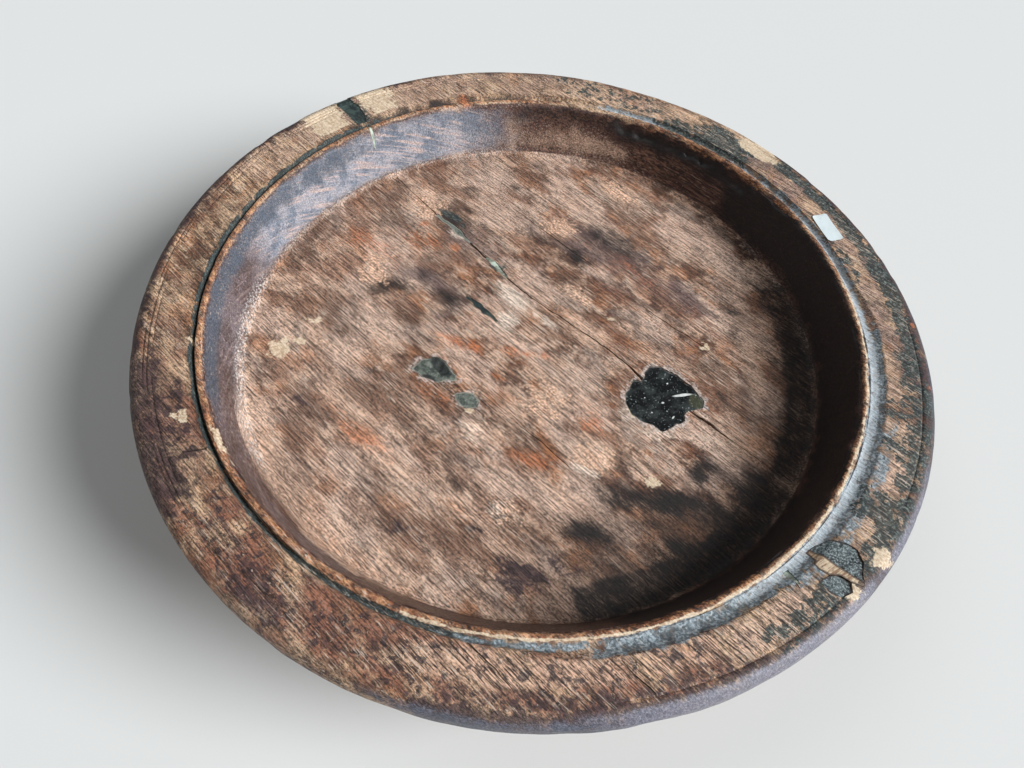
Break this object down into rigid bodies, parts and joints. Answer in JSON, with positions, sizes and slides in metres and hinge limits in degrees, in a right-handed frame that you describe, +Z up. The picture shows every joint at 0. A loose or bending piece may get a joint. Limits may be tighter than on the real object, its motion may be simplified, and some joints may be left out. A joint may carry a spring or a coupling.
{
  "type": "wooden pedestal dish",
  "caption": "Round turned wooden dish with a wide flat rim, raised lip and shallow flat-floored bowl on a waisted pedestal foot, cracked and mended.",
  "frame": {"origin": "on the table, under the middle of the foot", "axes": "+Z up out of the bowl, +X to the right and +Y to the back as the picture shows the dish"},
  "size_m": [0.5085, 0.5074, 0.1213],
  "materials": {
    "dish_wood": "matt",
    "pedestal_wood": "satin",
    "pitch": "satin",
    "resin": "gloss",
    "filler": "matt",
    "paint_filler": "satin",
    "pale_filler": "matt",
    "splint_wood": "matt",
    "label_paper": "matt"
  },
  "bodies": {
    "root": {"dish": "dish_wood", "pedestal": "pedestal_wood", "tenon_pitch_bed": "pitch", "floor_resin_plug": "resin", "floor_fill_left": "filler", "floor_fill_lower": "filler", "floor_fill_sliver": "paint_filler", "crack_fill_upper": "filler", "crack_fill_middle": "pale_filler", "wall_crack_fill": "pale_filler", "rim_fill_far": "paint_filler", "rim_splint": "splint_wood", "rim_fill_left_of_splint": "filler", "rim_fill_right_of_splint": "filler", "rim_notch_fill": "pale_filler", "lot_label": "label_paper"}
  },
  "joints": []
}
